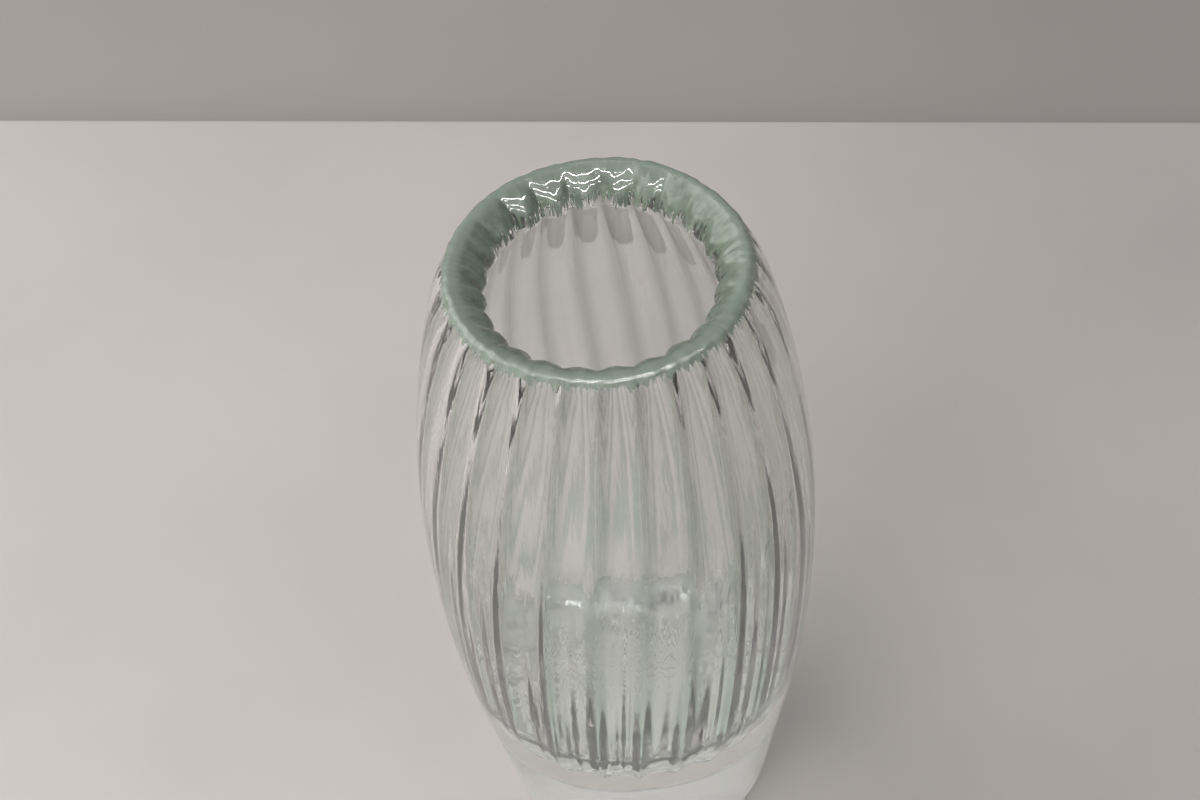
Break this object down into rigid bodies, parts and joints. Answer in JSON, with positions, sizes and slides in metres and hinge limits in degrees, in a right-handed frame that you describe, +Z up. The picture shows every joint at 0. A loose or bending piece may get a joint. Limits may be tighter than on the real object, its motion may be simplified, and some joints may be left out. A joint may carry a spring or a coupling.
{
  "type": "vase",
  "caption": "Thick clear glass vase with an ovoid body, softly twisting optic ribs inside, a heavy solid base and a sage-green glass lip round the open mouth.",
  "frame": {"origin": "centre of the flat underside, on the vase's axis", "axes": "+Z up along the axis, from the underside to the mouth; +X to the right and -Y towards the viewer in the pictured view"},
  "size_m": [0.1014, 0.1014, 0.201],
  "materials": {
    "clear_glass": "clear, very slightly grey-green, fire-polished",
    "sage_glass": "nearly opaque sage green with cloudy streaks, fire-polished"
  },
  "bodies": {
    "root": {"green_lip": "sage_glass", "ribbed_wall": "clear_glass", "solid_base": "clear_glass"}
  },
  "joints": []
}
